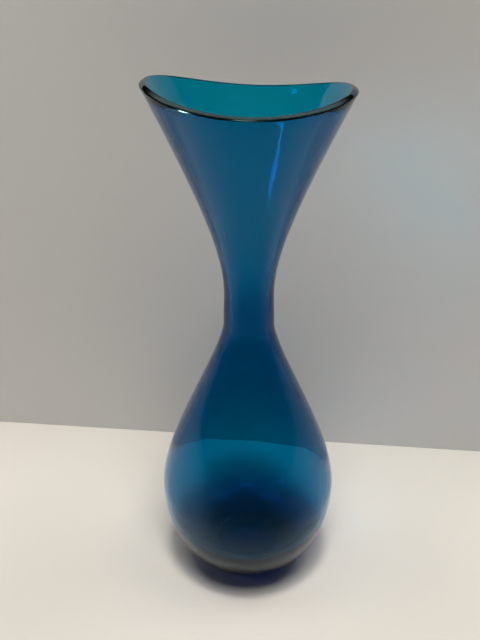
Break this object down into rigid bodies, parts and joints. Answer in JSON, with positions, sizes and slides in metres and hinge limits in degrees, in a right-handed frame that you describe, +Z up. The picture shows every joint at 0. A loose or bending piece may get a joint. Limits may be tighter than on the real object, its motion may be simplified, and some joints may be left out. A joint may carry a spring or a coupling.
{
  "type": "bud vase",
  "caption": "Hand-blown glass bud vase with a round bulb, a narrow neck and a flared mouth whose lip waves up at two sides.",
  "frame": {"origin": "centre of the foot, on the plane of the ground ring that the vase stands on", "axes": "+Z up along the axis of the vase, +X towards the lower of the two raised ends of the lip, -Y towards the side that the picture shows"},
  "size_m": [0.0834, 0.0832, 0.2332],
  "materials": {
    "blue_green_glass": "clear fire-polished glass, coloured through in deep teal blue"
  },
  "bodies": {
    "root": {"glass_vessel": "blue_green_glass"}
  },
  "joints": []
}
